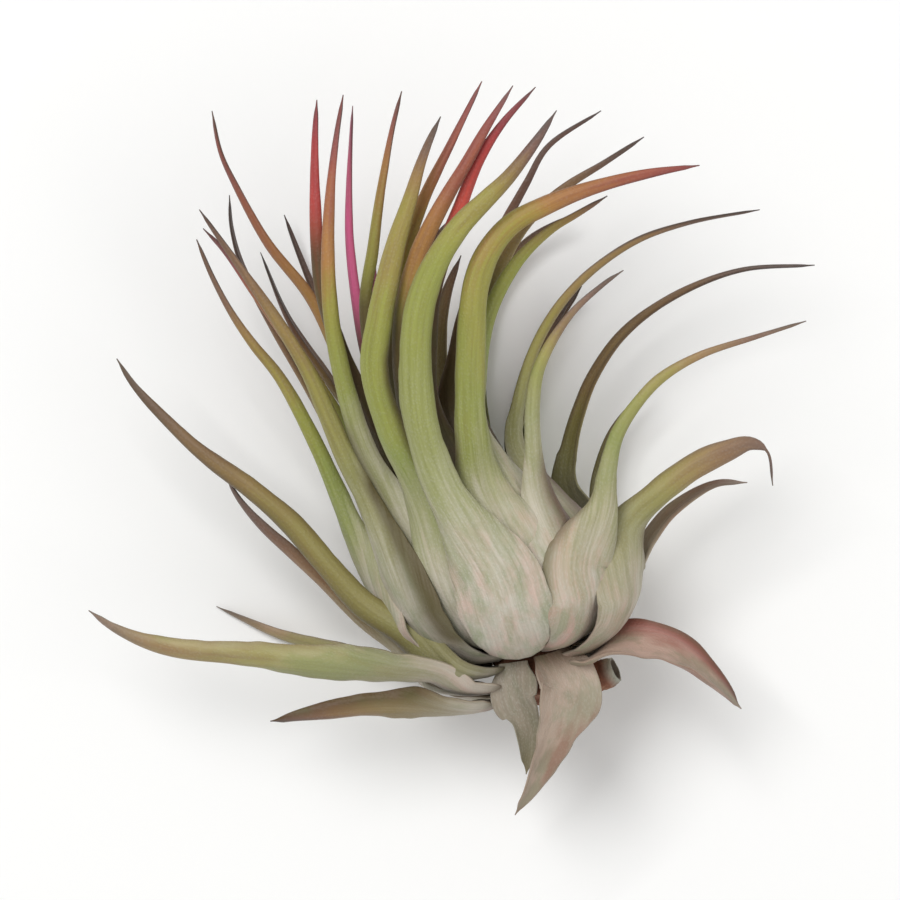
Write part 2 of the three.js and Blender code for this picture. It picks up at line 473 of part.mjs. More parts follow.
function toMesh(name, solid, colour) {
  const { vertProperties, triVerts, numProp } = solid.getMesh();
  const positions = [];
  for (let index = 0; index < vertProperties.length; index += numProp) {
    positions.push(vertProperties[index], vertProperties[index + 1], vertProperties[index + 2]);
  }
  const geometry = new THREE.BufferGeometry();
  geometry.setAttribute('position', new THREE.Float32BufferAttribute(positions, 3));
  geometry.setIndex(Array.from(triVerts));
  geometry.computeVertexNormals();
  const material = new THREE.MeshStandardMaterial({ color: colour, roughness: 0.75, metalness: 0 });
  const mesh = new THREE.Mesh(geometry, material);
  mesh.name = name;
  return mesh;
}

const plant = new THREE.Group();
plant.position.copy(PLANT_SHIFT);
plant.add(toMesh('stem', stemSolid(0), GREY));

const placed = [{ solid: stemSolid(0), grown: stemSolid(NEIGHBOUR_GAP) }];
for (const leaf of LEAVES) {
  const solid = clearOfNeighbours(toSolid(leafGeometry(leaf, 0)), placed);
  placed.push({ solid, grown: toSolid(leafGeometry(leaf, NEIGHBOUR_GAP)) });
  plant.add(toMesh(leaf.name, solid, leaf.colour));
}

export default plant;
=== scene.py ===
import json
import math

import bpy
import numpy as np
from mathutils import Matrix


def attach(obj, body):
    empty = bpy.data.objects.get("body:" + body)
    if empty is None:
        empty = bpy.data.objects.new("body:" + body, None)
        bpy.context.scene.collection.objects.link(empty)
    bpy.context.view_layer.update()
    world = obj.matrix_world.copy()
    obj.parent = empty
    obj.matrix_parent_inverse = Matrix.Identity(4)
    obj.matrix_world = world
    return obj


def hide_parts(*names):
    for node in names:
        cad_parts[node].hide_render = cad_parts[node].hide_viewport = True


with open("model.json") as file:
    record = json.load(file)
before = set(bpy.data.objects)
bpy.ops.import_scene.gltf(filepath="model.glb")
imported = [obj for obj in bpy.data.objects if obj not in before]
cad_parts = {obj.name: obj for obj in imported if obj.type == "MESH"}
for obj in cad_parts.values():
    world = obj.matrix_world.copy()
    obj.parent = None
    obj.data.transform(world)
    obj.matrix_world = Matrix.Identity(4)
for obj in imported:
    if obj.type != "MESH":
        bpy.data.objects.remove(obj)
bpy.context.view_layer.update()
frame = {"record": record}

# A small red air plant, lying on its side on a pale floor. Every leaf of the frame is replaced by a
# finer one on the same path, with thin margins, a thread-like tip and silvery scales.
# Lengths are in millimetres until a mesh is made, and then in metres.

MM = 0.001

# The stem and the bulb that the leaf bases form round it, as in the solids
STEM_BASE = np.array((8.2, -22.0, 11.45))
STEM_LEAN_X = -0.2
STEM_BENDS_X = -0.005
STEM_RISE_Y = 0.975
STEM_RISE_Z = 0.14
STEM_RADIUS = 3.6
STEM_TOP_RADIUS = 1.7
STEM_TOP = 13.5
BULB_RADIUS = 11.8
BULB_SWELL = 8.8
SWELL_SKEW = 2.2
OUTER_LAYER = 7
LAYER_STEP = 1.05
LAYER_CLIMB = 1.25
OUTER_START = 2.6
STEM_GAP = 0.3
PLANT_SHIFT = np.array((-0.1, -0.1, 0.0))

# A leaf: its thickness and widths, the half angles of its section in radians, and where along it the
# sheath ends, the blade begins, the section leaves the bulb's roundness and the blade starts to turn.
# The margin is never more than a share of the thickness there, and is reached by a power across.
THICKNESS = 0.7
MARGIN_THICKNESS = 0.2
MARGIN_SHARE = 0.8
MARGIN_POWER = 3
TIP_THICKNESS = 0.22
TIP_THIN_FROM = 0.72
TIP_WIDTH = 0.24
SHEATH_HALF_ANGLE = 0.43
SHEATH_LENGTH = 10.0
BLADE_FROM = 25.0
CHANNEL_HALF_ANGLE = 1.05
FLAT_HALF_ANGLE = 0.05
CURLED_WIDTH = 1.2
TAPER_POWER = 1.6
BLADE_SHARE = 0.55
SHEATH_SHARE = 0.5
ROUND_SHARE = 0.25
TURN_SHARE = 0.4

# An old leaf's root is rounded: this share of its width at the very end, over this length
ROOT_SHARE = 0.55
ROOT_LENGTH = 2.5

# A tip runs to a point: this share of its width at the very end, over this length
POINT_SHARE = 0.35
POINT_LENGTH = 1.6

# Small unevenness, each with its pace along the leaf: of the width, of each edge, of the twist, which
# comes in over a length, and of how far the edges lift. A young leaf has only a share of the last three.
YOUNG_UNEVENNESS = 0.35
WIDTH_SWAY = 0.035
WIDTH_PACE = 0.5
EDGE_SWAY = 0.04
EDGE_PACE = 0.8
TWIST_SWAY = math.radians(7)
TWIST_PACE = 0.22
TWIST_LENGTH = 20
LIFT_SWAY = 0.16
LIFT_PACE = 0.7
RIPPLE_SPAN = 1.5

# Shallow ridges along a blade, and from which half width on, and over what, it has lift and ridges
RIDGE_HEIGHT = 0.03
RIDGE_PACE = 5.2
RIDGE_SHIFT = 0.3
WIDE_FROM = 0.6
WIDE_OVER = 1.5

# Painted shade on a leaf: the fade at the end of the shade painted on its lower part, as a share of the
# leaf's length, the fade at each end of a margin painted with shade, and how much painted shade the root
# of an old leaf has and how far
PAINTED_SHADE_FADE = 0.12
MARGIN_SHADE_FADE = 5.0
ROOT_SHADE = 0.85
ROOT_SHADE_LENGTH = 3.6

# Fineness
SEGMENT_STEPS = 60
FRAME_STEPS = 240
STATIONS = 104
STATION_POWER = 1.15
ARC_POINTS = 19
ARC_SIDES = np.sin(np.linspace(-0.5, 0.5, ARC_POINTS) * math.pi)
BASE_POINTS = 5
AXIS_HEIGHTS = range(-4, 35)

# A leaf's colour stage runs from 0 at its root to 1 at its tip: by the first value its silvery base
# has turned green, and by the second the green has turned to the warm colours of its tip. Each leaf
# is ahead or behind by a small random share.
GREEN_STAGE = 0.3
WARM_STAGE = 0.6
STAGE_DRAW = 0.02

# What a leaf has without a word in its row: the share of deeper colour and painted shade on its inner
# face, and its blush. A fresh side of a dry leaf starts a little off its middle.
INNER_SHADE = 0.65
BLUSH = 0.5
FRESH_FROM = 0.1
FRESH_OVER = 0.8

# The grain of each leaf, and of each of its faces, starts at another place in the noise
FACE_APART = 9
LEAF_APART = 13.7
LEAF_SEED = 100
STEM_SEED = 7

# The stem and the stub beside it: heights or places with their radii, counts of rings and sides, and
# the rings that show in the bark, as shares of the radius with their paces
STEM_STATIONS = [(-2.6, 2.3), (-1.6, 3.3), (0, 3.6), (3, 3.2), (7, 2.6), (11, 2.0), (13.5, 1.7)]
STEM_RINGS = 60
STEM_SIDES = 40
STEM_RING_SHARE = 0.04
STEM_RING_PACE = 4.2
STEM_END_SHARE = 0.55
STEM_END_RINGS = 8
STUB_STATIONS = [
    ((8.6, -22.6, 11.2), 2.4), ((12.4, -22.7, 11.6), 2.1), ((15.0, -22.1, 12.2), 1.7),
    ((16.4, -21.5, 12.6), 1.3),
]
STUB_RINGS = 34
STUB_SIDES = 32
STUB_RING_SHARE = 0.05
STUB_RING_PACE = 30
STUB_WEAR = (-5.2, 1.6)
HOLLOW_DEPTH = 1.6
HOLLOW_SHARES = (0.8, 0.7, 0.62, 0.5)
BARK_WAVES = 5
BARK_WAVE_SHARE = 0.03
BARK_WAVE_SHIFT = 0.3
BARK_ROUGH_SHARE = 0.02


def row(name, azimuth, place, sheath, blade, green, warm, path, **more):
    """One leaf: place is its layer in the bulb, or the heights and distances that an old base follows.
    Green and warm are where on the path it turns green and then warm, counted in path points, and so
    is murk, where the shade painted on its lower part, under its neighbours, ends. Turn is
    in degrees. Blade_from, taper, thread and clasp shape it, as the constants above do. Blush and dry
    are shares of its colours. Shade is the share of deeper colour and painted shade on its inner face,
    dim adds the painted shade colour evenly over the whole leaf, and root_dark is the painted
    shade at an old leaf's root. Fresh is the side, and the share, that is still fresh on a dry leaf.
    Rim is a margin painted with shade: its side and strength, the distances from the root where it
    starts and ends, and its share of half the width."""
    leaf = dict(name=name, azimuth=azimuth, place=place, sheath=sheath, blade=blade, path=path)
    return dict(leaf, green=green, warm=warm, **more)


LEAVES = [
    row("leaf_front_centre", -6, 7, 10, 4.1, 0, 7.2,
        [(-1.1, -2.8, 26.2), (-2.9, 3.1, 28), (-3.3, 9.1, 29.4), (-2.9, 13.4, 30.2), (-1.9, 16.8, 30.7),
         (-0.6, 19.4, 31.1), (1.2, 21.9, 31.5), (3.6, 24.3, 31.9), (5.9, 26.6, 32.2), (8.2, 29.6, 32.4),
         (10.4, 32.9, 32.4)], taper=1.9),
    row("leaf_right_outer", 40, 7, 10, 2.4, 1, 4,
        [(15.1, -5.8, 20.2), (15.6, -1.9, 20.8), (16.5, 1.6, 21.2), (18.5, 4.8, 21.5), (20.8, 7.2, 21.7),
         (24.6, 9.4, 21.7), (30.1, 11.2, 21.4), (34.9, 12.7, 20.8)], blade_from=22, taper=0.5, turn=-25,
        blush=1.0, dry=0.15, rim=(0.6, 8, 22, 0.35)),
    row("leaf_right_hooked", 64, 8, 9.5, 3.1, 0.2, 2,
        [(17.6, -7.4, 17), (20.8, -4.1, 17.2), (24.1, -1.6, 17.2), (27.3, -0.1, 17), (29.6, 0.7, 16.8),
         (31.2, 0, 16.4), (31.8, -3.4, 15.6)], taper=4, thread=0.78, turn=-45, blush=0.8, dry=0.12,
        rim=(-0.55, 6, 21, 0.7)),
    row("leaf_left_outer", -62, 7, 9.5, 3, 0.3, 3.7,
        [(-7.9, -5.6, 18), (-10.1, -1.3, 18.6), (-12, 3.2, 19.2), (-13.9, 7.6, 19.6), (-16.7, 12.4, 20),
         (-19.8, 17, 20.4), (-24.4, 23.6, 20.6)], taper=1, turn=25, blush=0.1,
        rim=(-1.4, 4, 28, 0.9)),
    row("leaf_left_edge", -89, 8, 9.5, 2.5, 0.2, 2.5,
        [(-9.7, -7.8, 12.8), (-13, 0.1, 13.6), (-16.7, 7.2, 14.4), (-19.3, 10.5, 14.8), (-21.4, 13.6, 15),
         (-23.2, 17, 15.3), (-24.8, 20.8, 15.4)], taper=0.8, turn=55),
    row("leaf_right_low", 92, 7, 9.5, 2.3, 0.5, 3.6,
        [(18.2, -11.4, 12.2), (19.9, -8.7, 12.2), (21.8, -6.2, 12.4), (24.6, -4.1, 12.6),
         (26.6, -3.2, 12.6), (29.4, -3.1, 12.6)], turn=-55, shade=0.1, dry=0.45),
    row("leaf_front_left", -34, 6, 9.5, 3.9, 0.5, 6,
        [(-2.6, -5.4, 22.2), (-5.9, 1.6, 24.8), (-7.6, 7.6, 26.6), (-7.1, 12.6, 27.4), (-6.1, 17, 28),
         (-5.2, 20.6, 28.4), (-4, 24.2, 28.8), (-3, 27.4, 29.1), (-2.1, 29.6, 29.3),
         (-0.8, 32.4, 29.5)], taper=1.9, blush=0.3, rim=(-1, 21, 40, 0.6)),
    row("leaf_right_inner", 33, 6, 8, 2.1, 1.6, 3.4,
        [(9.0, -4.5, 21), (8.4, 0.2, 22), (8.3, 4.6, 23), (8.9, 8.2, 23.6), (11.6, 13, 24.2),
         (15.1, 16.3, 24.4), (17, 17.6, 24.4)], taper=0.9, dry=0.15, blush=0.8, rim=(-1.3, 8, 25, 1.4)),
    row("leaf_right_back", 118, 6, 7.5, 2.5, 0, 2.6,
        [(11.7, -3.4, 8), (12.1, 0.6, 8.4), (12.9, 3.8, 8.9), (14.3, 7.4, 9.6), (17.2, 11.6, 10.8),
         (22, 15.2, 12), (28.6, 17.8, 13), (36, 18.3, 13.5)], blade_from=20, taper=0.45, turn=30,
        shade=0.45),
    row("leaf_left_twin", -92, 6, 8, 2.2, 0, 1.5,
        [(-9.8, 0.4, 12), (-12.8, 6, 12.6), (-16, 11, 13.2), (-19.4, 15.8, 13.6),
         (-22.3, 19.9, 13.8), (-24.2, 21.9, 13.9)], turn=40),
    row("leaf_front_right", 8, 5, 8.5, 3.7, 0.6, 6.8,
        [(3.2, -3.4, 23.2), (2.4, 1.6, 25.4), (2.2, 7.6, 27), (2.4, 12.4, 27.7), (2.8, 16.2, 28.1),
         (4.1, 19.5, 28.4), (6.3, 22, 28.5), (9.2, 23.6, 28.6), (12.3, 24.9, 28.6), (15.8, 26, 28.6),
         (20.4, 27.1, 28.4), (24.3, 27.7, 28.2)], rim=(0.85, 8, 27, 0.5)),
    row("leaf_right_middle", 60, 5, 8, 2.9, 0.5, 3,
        [(6.9, 0.5, 17.6), (7.1, 5, 18.6), (8.5, 10, 19.3), (11, 14.4, 19.9), (14.2, 17.8, 20.3),
         (18.4, 20.6, 20.5), (23.4, 22.3, 20.4), (30.4, 23.6, 19.8)], taper=0.5, blush=0.8,
        rim=(-1.3, 6, 25, 1.4)),
    row("leaf_left_middle", -52, 5, 8.5, 2.8, 1.5, 3.6,
        [(-6.2, -4.2, 18.4), (-8.9, 1.2, 20.4), (-10.7, 7.6, 22), (-11.7, 13.6, 23), (-11.9, 19.7, 23.5),
         (-11.6, 25.4, 23.7), (-11, 30.4, 23.8), (-10.3, 34.7, 23.8)], taper=1.2, turn=15, blush=0.1,
        rim=(1.1, 0, 31, 1.6)),
    row("leaf_inner_orange", -22, 4, 7, 2.4, 1, 3.5,
        [(-2.2, -2.2, 20.8), (-3.9, 3, 22.9), (-4.7, 9, 25), (-4.4, 14.2, 26.3), (-3.2, 18.7, 27.2),
         (-1.8, 21.9, 27.7), (-0.1, 25, 28.1), (1.7, 28, 28.5), (3.4, 31, 28.8), (5.2, 33.8, 29.1),
         (6.2, 35.4, 29.2)], taper=2.2, murk=3),
    row("leaf_left_far", -76, 4, 7, 2.2, 0, 1.6,
        [(-8.4, 2.4, 15.6), (-10.6, 8.2, 16.6), (-13.6, 14.8, 17.6), (-17.8, 20.3, 18.2),
         (-21.1, 26.3, 18.6), (-22.4, 29.3, 18.8), (-23.2, 33.3, 19)], turn=15, murk=0.8, blush=0.2,
        dim=0.25),
    row("leaf_inner_green", 28, 4, 7, 2.3, 1, 4,
        [(3, 2, 20.9), (3, 7.6, 22.3), (4, 13.2, 23.5), (6.6, 18.2, 24.4), (9.8, 21.4, 25),
         (12.4, 23, 25.4), (15.4, 24.8, 25.6)]),
    row("leaf_inner_brown", -36, 3, 6, 2.2, 0.5, 3.5,
        [(-4.4, 2.6, 19.4), (-5.6, 9, 21.8), (-5.2, 15, 23.8), (-4, 20.5, 25.1), (-2.4, 24.8, 26),
         (0.2, 29.9, 26.6), (3.2, 35.9, 27)], murk=1.5),
    row("leaf_inner_red", -87, 3, 6, 1.9, 0.5, 2.5,
        [(-7.9, 3.6, 17.4), (-10.6, 9.5, 19), (-12.4, 15, 20), (-13, 20, 20.6), (-13.2, 26, 20.9),
         (-13.1, 30.4, 21.1), (-12.9, 34.3, 21.2)], taper=2.6, turn=50, murk=3.3),
    row("leaf_inner_thin", 22, 3, 6, 1.8, 0.5, 3,
        [(2.8, 3, 18.2), (2.8, 9, 19.8), (4.2, 15.6, 21.2), (7.2, 21.7, 22.4), (11.5, 25.8, 23),
         (15, 28, 23.4), (19, 30.6, 23.6)], murk=2.2),
    row("leaf_inner_olive", -58, 2, 5.6, 2.0, 0.5, 4.3,
        [(-5.6, 3, 17.8), (-7.6, 8.6, 20.4), (-8.3, 14.4, 22.4), (-7.5, 19.8, 23.8), (-6.7, 25.2, 24.6),
         (-5.6, 31, 25.2), (-4.6, 35, 25.4)], murk=2.2, blush=0.3, dim=0.2),
    row("leaf_inner_bright", -6, 2, 5.6, 2.3, 0.5, 4,
        [(-1.8, 3, 19.4), (-2.2, 9, 22), (-1.8, 14.6, 24.2), (-0.4, 19.7, 25.8), (1, 23.5, 26.8),
         (2.9, 28.2, 27.6), (5.2, 31.8, 28), (8.4, 35.3, 28.2)], murk=2.8),
    row("leaf_inner_pink", -78, 1, 4.8, 1.9, 0, 1.5,
        [(-6.2, 3.6, 15.8), (-8.2, 9, 18), (-9.3, 15.5, 19.8), (-9.8, 21, 20.7), (-9.8, 26, 21.2),
         (-9.6, 30.4, 21.5), (-9.4, 33.7, 21.6)], taper=1.8, murk=1.6),
    row("leaf_inner_dark", 12, 1, 4.8, 1.7, 0, 2,
        [(0.2, 4, 17.4), (0.8, 10, 19.2), (2.4, 16, 21.2), (4.8, 21, 22.8), (7.5, 26, 24.2),
         (9.6, 29.6, 24.8), (14.8, 33.1, 25.2)], taper=0.9, murk=2.6),
    row("leaf_back_edge", 117, 8, 9.5, 2.2, 0.5, 2.5,
        [(14.8, -4.8, 6.4), (15.2, -1.4, 5.6), (16.2, 1.6, 5.2), (17.9, 4.2, 5.4), (20, 6.3, 5.8)]),
    row("leaf_back_right", 145, 7, 9.5, 3.4, 0.5, 3,
        [(7.8, -2.4, 3.2), (7.6, 3, 1.4), (8.7, 8.4, 0.3), (10.2, 11.8, 0.8), (11.8, 14.4, 1.8),
         (13.2, 16.4, 3)]),
    row("leaf_back_centre", 168, 8, 9.5, 3.4, 0.5, 3.2,
        [(3.6, -1, 1), (2.6, 5, 0.9), (2.8, 11, 1), (4.6, 16.5, 1.4), (8, 20.8, 2.4), (12.4, 23.6, 3.6)]),
    row("leaf_back_left", -164, 7, 9.5, 3.4, 0.5, 3.2,
        [(-1.9, -1.5, 2.3), (-3.4, 4.5, 1.9), (-4, 10.5, 2), (-3.6, 15.4, 2.6), (-2.2, 19.6, 3.6),
         (0, 23, 4.8)]),
    row("leaf_left_back", -141, 8, 9, 3, 0.3, 2,
        [(-6.9, -1.5, 2.3), (-9.5, 5.5, 0.9), (-12.3, 13, 0.3), (-14.5, 18.5, 1.2), (-16.4, 23.5, 2.4)],
        taper=0.8, shade=0.4),
    row("leaf_left_thin", -113, 7, 8.5, 2.4, 0, 2,
        [(-9.8, -2.4, 8), (-13.3, 5, 8), (-17.3, 12, 8.2), (-20.4, 18, 8.8), (-21.5, 22, 9.2),
         (-21.7, 25.3, 9.4)], shade=0.4),
    row("leaf_back_inner", -177, 6, 8.5, 2.8, 0.5, 3,
        [(-0.4, 0, 4.4), (-1, 5.4, 4.6), (-1.1, 10.6, 5), (-0.4, 15.2, 5.8), (1.2, 19.4, 6.8)]),
    row("leaf_back_upper", 140, 5, 8, 2.2, 0.3, 2.5,
        [(6.6, 0, 6.8), (7.2, 4.4, 7), (8.5, 8.6, 7.6), (10.1, 12, 8.2), (11.9, 14.8, 9)]),
    row("leaf_back_narrow", -155, 5, 8, 2.6, 0.3, 2.4,
        [(-4, 0.5, 6), (-6, 6, 6.2), (-7.1, 11.6, 6.6), (-6.9, 16.4, 7.2), (-5.9, 20.6, 8)]),
    row("leaf_left_short", -104, 5, 7.5, 2.2, 0.2, 1.5,
        [(-8.6, 1.6, 10.2), (-12, 7, 10.4), (-15.9, 13, 10.6), (-18.6, 19.6, 11)]),
    row("leaf_heart_back", 178, 2, 5.6, 2.0, 0, 1.4,
        [(-1, 2.5, 9.2), (-2.4, 8.5, 9.6), (-2.6, 15, 10.4), (-1.2, 21, 11.4)]),
    row("leaf_heart_right", 80, 1, 5, 1.9, 0, 1.4,
        [(2.2, 3.4, 14), (2.2, 9, 15), (3.4, 15, 16.2), (6, 20, 17.4)]),
    row("leaf_heart_left", -120, 0, 4.4, 1.9, 0, 1.4,
        [(-4, 4.4, 12.4), (-5.8, 9.4, 13), (-7.2, 15, 13.8), (-7.6, 21, 14.6)]),
    row("leaf_heart_centre", -20, 0, 4.4, 1.7, 0, 1.4,
        [(-2.4, 4.4, 15.6), (-3.4, 9.4, 16.8), (-3.4, 15, 18.2), (-1.8, 20.5, 19.6)]),
    row("leaf_old_upper", -50, [(1.6, 3.9), (1.7, 6.6), (2.6, 9.6)], 4.8, 3.4, -1, 4,
        [(-4.2, -18.2, 16), (-8.7, -15.2, 15.1), (-12.3, -11.3, 14.9), (-16, -6.9, 14.8),
         (-19.5, -3.9, 14.8), (-25.4, 0.6, 14.4), (-31, 6.5, 14), (-32.7, 9.1, 13.8)], blade_from=14,
        turn=55, clasp=0.6, dry=0.05, blush=0.3, rim=(0.75, 8, 50, 1.1), dim=0.28),
    row("leaf_old_brown", -106, [(-1, 3.9), (-0.7, 7.4), (0.6, 10.8)], 5, 2.9, 0, 2.5,
        [(-4.6, -20.3, 8.6), (-8.6, -17, 9.4), (-12.6, -13, 10.4), (-15.6, -10.2, 11),
         (-18.7, -7.3, 11.4), (-20.6, -5, 11.6), (-22, -2.5, 11.8)], turn=40, dry=0.1),
    row("leaf_old_down", 30, [(2.1, 4.1), (0.7, 5.1), (-1.4, 5.8)], 7.4, 4.4, 0, 3.5,
        [(11, -25.8, 17.2), (10.1, -28.4, 16.8), (9, -31, 16), (7.8, -33.6, 15), (6.5, -35.8, 14)],
        blade_from=9, clasp=0.9, taper=1, dry=0.75, blush=1.0),
    row("leaf_old_stub", -22, [(2.1, 4.1), (0.4, 4.8), (-1.5, 5.1)], 5.4, 3, 2.1, 2.6,
        [(7.4, -25.6, 15.8), (8, -28.4, 15.1), (7.6, -31.8, 13.8)], blade_from=9, clasp=0.8, dry=0.1,
        blush=0, root_dark=0),
    row("leaf_old_long", -62, [(-0.5, 3.9), (-0.1, 6.2), (0.7, 8.4)], 6.5, 3.6, 0.9, 4,
        [(-1.4, -22.1, 16.8), (-5.9, -21.6, 16.8), (-14.9, -20.8, 16.4), (-20.9, -20.3, 15.6),
         (-28.4, -19.3, 14.4), (-32.4, -17.8, 13.6), (-35.5, -15.7, 12.8)], turn=45, clasp=0.75, dry=0.35,
        blush=0.7),
    row("leaf_old_middle", -126, [(-1.9, 3.9), (-1.8, 7), (-1.2, 9.4)], 5, 2.6, 0, 2.4,
        [(-4.6, -21.6, 4.2), (-10.4, -20, 2.6), (-14.9, -19, 1.5), (-17.9, -18, 0.9),
         (-23.2, -15.5, 0.33)], turn=35, dry=0.3),
    row("leaf_old_low", -74, [(-2, 3.9), (-2.2, 6), (-2, 7.8)], 6, 3.4, -0.5, 2,
        [(-2.9, -25.3, 13.4), (-7.4, -25.3, 13.6), (-11.9, -25.8, 13.6), (-17.6, -26.6, 13.2)],
        turn=55, clasp=0.6, dry=0.1, blush=0.6, rim=(-1.2, 5, 30, 1.1), dim=0.1),
    row("leaf_old_red", 66, [(0.4, 3.9), (0.7, 6.6), (1.7, 9)], 6, 4.4, -2, -0.5,
        [(18.9, -18.9, 15.2), (21.4, -19.4, 15.2), (24, -21, 14.8), (26.6, -23.2, 13.8),
         (28.8, -25.4, 12.6)], turn=50, clasp=0.55, dry=0.75, fresh=-0.8,
        rim=(-0.5, 6, 30, 0.4), root_dark=0.2),
]


# Camera, lights and floor

def make_camera():
    camera = bpy.data.objects.new("camera", bpy.data.cameras.new("camera"))
    bpy.context.scene.collection.objects.link(camera)
    height = 1.0
    plant_height = 0.02
    shown = 0.088
    sensor = 36
    camera.location = (0, 0, height)
    camera.data.sensor_width = sensor
    camera.data.lens = sensor * (height - plant_height) / shown
    bpy.context.scene.camera = camera


def make_light(name, place, size, power):
    light = bpy.data.lights.new(name, "AREA")
    light.size = size
    light.energy = power
    lamp = bpy.data.objects.new(name, light)
    lamp.location = place
    direction = -np.array(place)
    yaw = math.atan2(direction[1], direction[0]) - math.pi / 2
    pitch = math.atan2(math.hypot(direction[0], direction[1]), -direction[2])
    lamp.rotation_euler = (pitch, 0, yaw)
    bpy.context.scene.collection.objects.link(lamp)


def make_world():
    world = bpy.data.worlds.new("world")
    world.use_nodes = True
    background = world.node_tree.nodes["Background"]
    background.inputs["Color"].default_value = (1.0, 1.0, 1.0, 1)
    background.inputs["Strength"].default_value = 0.48
    bpy.context.scene.world = world
    bpy.context.scene.view_settings.view_transform = "Standard"


def make_floor():
    half = 1.5
    mesh = bpy.data.meshes.new("floor")
    corners = [(-half, -half, 0), (half, -half, 0), (half, half, 0), (-half, half, 0)]
    mesh.from_pydata(corners, [], [(0, 1, 2, 3)])
    floor = bpy.data.objects.new("floor", mesh)
    bpy.context.scene.collection.objects.link(floor)
    material = bpy.data.materials.new("floor")
    material.use_nodes = True
    shader = material.node_tree.nodes["Principled BSDF"]
    shader.inputs["Base Color"].default_value = (0.9, 0.9, 0.89, 1)
    shader.inputs["Roughness"].default_value = 0.8
    mesh.materials.append(material)


# Shapes

def axis_at(height):
    """The stem's middle line at a height, its direction there, and the two sides across it."""
    point = STEM_BASE + np.array((
        STEM_LEAN_X * height + STEM_BENDS_X * height * height,
        STEM_RISE_Y * height,
        STEM_RISE_Z * height,
    ))
    along = np.array((STEM_LEAN_X + 2 * STEM_BENDS_X * height, STEM_RISE_Y, STEM_RISE_Z))
    along = along / np.linalg.norm(along)
    front = np.array((0.0, 0.0, 1.0))
    front = front - along * along[2]
    front = front / np.linalg.norm(front)
    return point, along, front, np.cross(along, front)


def around_stem(height, radius, azimuth):
    point, along, front, right = axis_at(height)
    angle = math.radians(azimuth)
    outward = front * math.cos(angle) + right * math.sin(angle)
    return point + outward * radius, outward, along


def is_old(leaf):
    return isinstance(leaf["place"], list)


def start_height(leaf):
    if is_old(leaf):
        return leaf["place"][0][0]
    return OUTER_START + (OUTER_LAYER - leaf["place"]) * LAYER_CLIMB


def base_points(leaf):
    azimuth = leaf["azimuth"]
    if is_old(leaf):
        return [around_stem(height, radius, azimuth)[0] for height, radius in leaf["place"]]
    inward = OUTER_LAYER - leaf["place"]
    start = start_height(leaf)
    swell = BULB_SWELL - SWELL_SKEW * math.sin(math.radians(azimuth))
    outer = BULB_RADIUS - inward * LAYER_STEP
    share = min(max(start / STEM_TOP, 0), 1)
    inner = STEM_RADIUS + (STEM_TOP_RADIUS - STEM_RADIUS) * share + STEM_GAP
    points = []
    for angle in np.linspace(0, math.pi / 2, BASE_POINTS):
        height = start + swell * (1 - math.cos(angle))
        points.append(around_stem(height, inner + (outer - inner) * math.sin(angle), azimuth)[0])
    return points


def catmull_rom(points):
    """A centripetal curve through the points, as many places on it."""
    points = [np.array(point, float) for point in points]
    points = [2 * points[0] - points[1]] + points + [2 * points[-1] - points[-2]]
    places = []
    for p0, p1, p2, p3 in zip(points, points[1:], points[2:], points[3:]):
        d0, d1, d2 = (math.sqrt(np.linalg.norm(b - a)) for a, b in ((p0, p1), (p1, p2), (p2, p3)))
        t1 = ((p1 - p0) / d0 - (p2 - p0) / (d0 + d1) + (p2 - p1) / d1) * d1
        t2 = ((p2 - p1) / d1 - (p3 - p1) / (d1 + d2) + (p3 - p2) / d2) * d1
        for w in np.arange(SEGMENT_STEPS) / SEGMENT_STEPS:
            c2 = -3 * p1 + 3 * p2 - 2 * t1 - t2
            c3 = 2 * p1 - 2 * p2 + t1 + t2
            places.append(p1 + t1 * w + c2 * w * w + c3 * w ** 3)
    places.append(points[-2])
    return np.array(places)


def run_along(places):
    """The distance run along a curve at each of its places."""
    steps = np.linalg.norm(np.diff(places, axis=0), axis=1)
    return np.concatenate(([0], np.cumsum(steps)))


def spaced(places, count):
    """The same curve as evenly spaced places."""
    run = run_along(places)
    wanted = np.linspace(0, run[-1], count)
    return np.stack([np.interp(wanted, run, places[:, k]) for k in range(3)], axis=1)


def unit(vector):
    return vector / np.linalg.norm(vector)


def leaf_curve(leaf):
    """A leaf's middle line, its length, and where on it, from 0 to 1, it turns green, then warm, and
    where the shade painted on its lower part ends."""
    base = base_points(leaf)
    places = catmull_rom(base + leaf["path"])
    run = run_along(places)
    marks = [(len(base) + leaf.get(key, 0)) * SEGMENT_STEPS for key in ("green", "warm", "murk")]
    green, warm, murk = np.interp(marks, np.arange(len(places)), run / run[-1])
    return places, run[-1], green, warm, murk


def leaf_frames(leaf, curve):
    """Places, directions, sides that face the stem and sides across, along a leaf."""
    places = spaced(curve, FRAME_STEPS + 1)
    directions = np.gradient(places, axis=0)
    directions /= np.linalg.norm(directions, axis=1)[:, None]
    _, outward, along = around_stem(start_height(leaf), 1, leaf["azimuth"])
    inner = along * directions[0].dot(outward) - outward * directions[0].dot(along)
    inners = []
    for direction in directions:
        inner = unit(inner - direction * inner.dot(direction))
        inners.append(inner)
    return places, directions, np.array(inners)


def smooth(value):
    share = np.clip(value, 0, 1)
    return share * share * (3 - 2 * share)


def mix(a, b, share):
    return a + (b - a) * share


def distance_to_axis(places):
    line = np.array([axis_at(height)[0] for height in AXIS_HEIGHTS])
    gaps = np.linalg.norm(places[:, None, :] - line[None], axis=2)
    return np.maximum(gaps.min(axis=1), STEM_RADIUS)


def turned(vectors, axes, angles):
    """Each vector turned about its axis; the two are square to each other."""
    return vectors * np.cos(angles)[:, None] + np.cross(axes, vectors) * np.sin(angles)[:, None]


